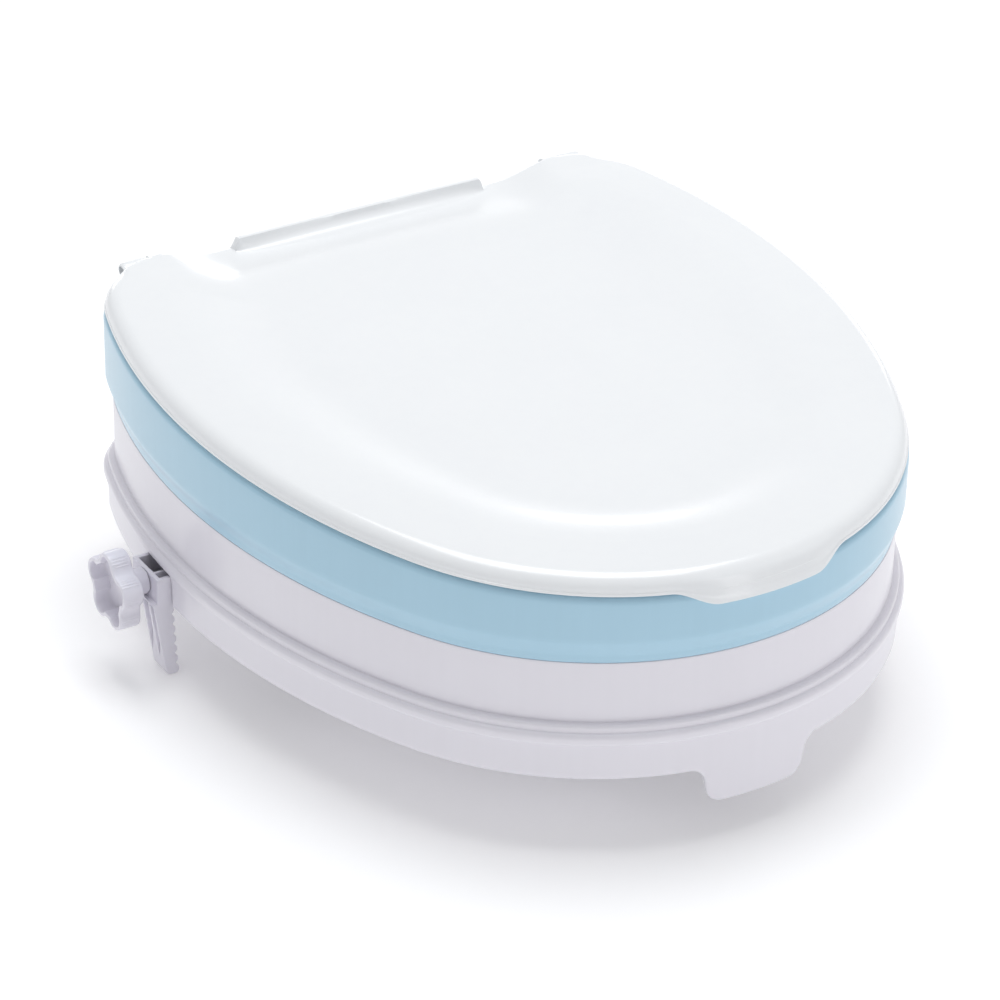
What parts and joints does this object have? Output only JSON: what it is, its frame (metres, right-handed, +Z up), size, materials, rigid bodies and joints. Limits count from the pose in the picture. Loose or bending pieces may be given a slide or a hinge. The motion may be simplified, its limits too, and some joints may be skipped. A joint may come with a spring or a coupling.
{
  "type": "raised toilet seat",
  "caption": "Raised toilet seat with a hinged lid, a blue seat ring, a front lug and a knob-driven toothed clamp at each side.",
  "frame": {"origin": "bottom centre of the whole object: the floor level under the clamp jaws, in the middle of its length and width", "axes": "+Z up, -Y to the front of the seat (the user's knees), +X to the right as seen from the front"},
  "size_m": [0.432, 0.4133, 0.1693],
  "materials": {
    "white_body": "gloss moulded plastic",
    "white_lid": "high gloss moulded plastic",
    "blue_ring": "satin moulded plastic",
    "grey_clamp": "satin moulded plastic",
    "grey_rubber": "matt",
    "steel": "zinc plated"
  },
  "bodies": {
    "riser": {"base_plate": "white_body", "base_plate_screws": "steel", "clamp_nut_left": "steel", "clamp_nut_right": "steel", "guide_screws": "steel", "hinge_pin_left": "steel", "hinge_pin_right": "steel", "hinge_post_left": "white_lid", "hinge_post_right": "white_lid", "hinge_screws": "steel", "jaw_guide_left": "grey_clamp", "jaw_guide_right": "grey_clamp", "rest_pads": "grey_rubber", "riser_body": "white_body", "seat_ring": "blue_ring", "seat_ring_screws": "steel", "splash_collar": "white_body"},
    "lid": {"lid": "white_lid", "lid_buffers": "grey_rubber"},
    "jaw_left": {"jaw_left": "grey_clamp"},
    "knob_left": {"knob_left": "grey_clamp", "clamp_bolt_left": "steel", "clamp_washer_left": "steel", "bolt_clip_left": "steel"},
    "jaw_right": {"jaw_right": "grey_clamp"},
    "knob_right": {"knob_right": "grey_clamp", "clamp_bolt_right": "steel", "clamp_washer_right": "steel", "bolt_clip_right": "steel"}
  },
  "joints": [
    {"name": "lid_hinge", "type": "hinge", "parent": "riser", "child": "lid", "pos_m": [0, 0.19535, 0.164], "axis": [-1, 0, 0], "range_deg": [0, 105]},
    {"name": "knob_left_turn", "type": "hinge", "parent": "jaw_left", "child": "knob_left", "pos_m": [-0.2, 0.07455, 0.0523], "axis": [1, 0, 0], "range_deg": [-480.2, 1440.6]},
    {"name": "jaw_left_slide", "type": "slide", "parent": "riser", "child": "jaw_left", "axis": [1, 0, 0], "range_m": [-0.004, 0.012]},
    {"name": "knob_right_turn", "type": "hinge", "parent": "jaw_right", "child": "knob_right", "pos_m": [0.2, 0.07455, 0.0523], "axis": [-1, 0, 0], "range_deg": [-480.2, 1440.6]},
    {"name": "jaw_right_slide", "type": "slide", "parent": "riser", "child": "jaw_right", "axis": [-1, 0, 0], "range_m": [-0.004, 0.012]}
  ],
  "couplings": [
    {"joint": "knob_left_turn", "follows": "jaw_left_slide", "rad_per_m": 2094.4},
    {"joint": "knob_right_turn", "follows": "jaw_right_slide", "rad_per_m": 2094.4}
  ]
}
